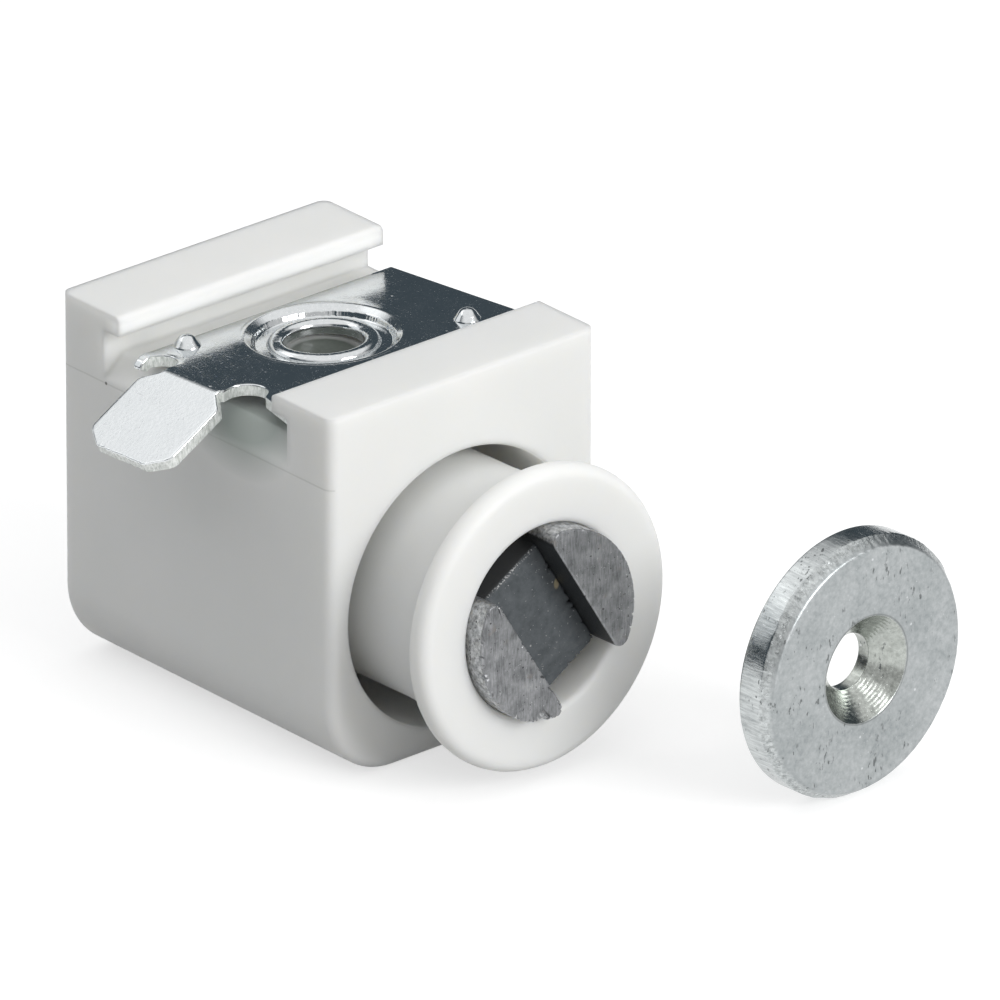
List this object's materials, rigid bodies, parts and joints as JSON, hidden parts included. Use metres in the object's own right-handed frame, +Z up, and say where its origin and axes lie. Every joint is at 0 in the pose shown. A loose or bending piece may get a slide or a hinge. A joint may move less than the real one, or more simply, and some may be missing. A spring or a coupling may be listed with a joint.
{
  "type": "cupboard catch latch",
  "caption": "Magnetic cupboard catch: white slotted housing, zinc-plated mounting tongue, sprung flanged magnet plunger and a countersunk strike disc.",
  "frame": {"origin": "centre of the mounting plate's screw hole, where the hole's wall meets the top of its collar", "axes": "+Z up out of the open slot, +X along the rails away from the bent tongue, -Y out of the plunger's end towards the strike disc"},
  "size_m": [0.045, 0.0563, 0.029],
  "materials": {
    "white_plastic": "satin moulded",
    "zinc_plated_steel": "bright zinc plated",
    "pole_steel": "ground and lightly scratched",
    "ferrite": "sintered, dull",
    "spring_steel": "drawn wire"
  },
  "bodies": {
    "housing": {"housing": "white_plastic", "return_spring": "spring_steel", "retaining_wire": "spring_steel"},
    "plate": {"mounting_plate": "zinc_plated_steel"},
    "plunger": {"magnet_holder": "white_plastic", "magnet_block": "ferrite", "pole_upper": "pole_steel", "pole_lower": "pole_steel"},
    "strike": {"strike_disc": "zinc_plated_steel"}
  },
  "joints": [
    {"name": "plate_slide", "type": "slide", "parent": "housing", "child": "plate", "axis": [1, 0, 0], "range_m": [-0.016, 0.0015]},
    {"name": "plunger_push", "type": "slide", "parent": "housing", "child": "plunger", "axis": [0, 1, 0], "range_m": [0, 0.0063], "stiffness_N_per_m": 300, "springref_m": -0.004, "deforming": ["return_spring"]},
    {"name": "strike_to_poles", "type": "slide", "parent": "housing", "child": "strike", "axis": [-0.8012, 0.5812, 0.1427], "range_m": [0, 0.0196]}
  ]
}
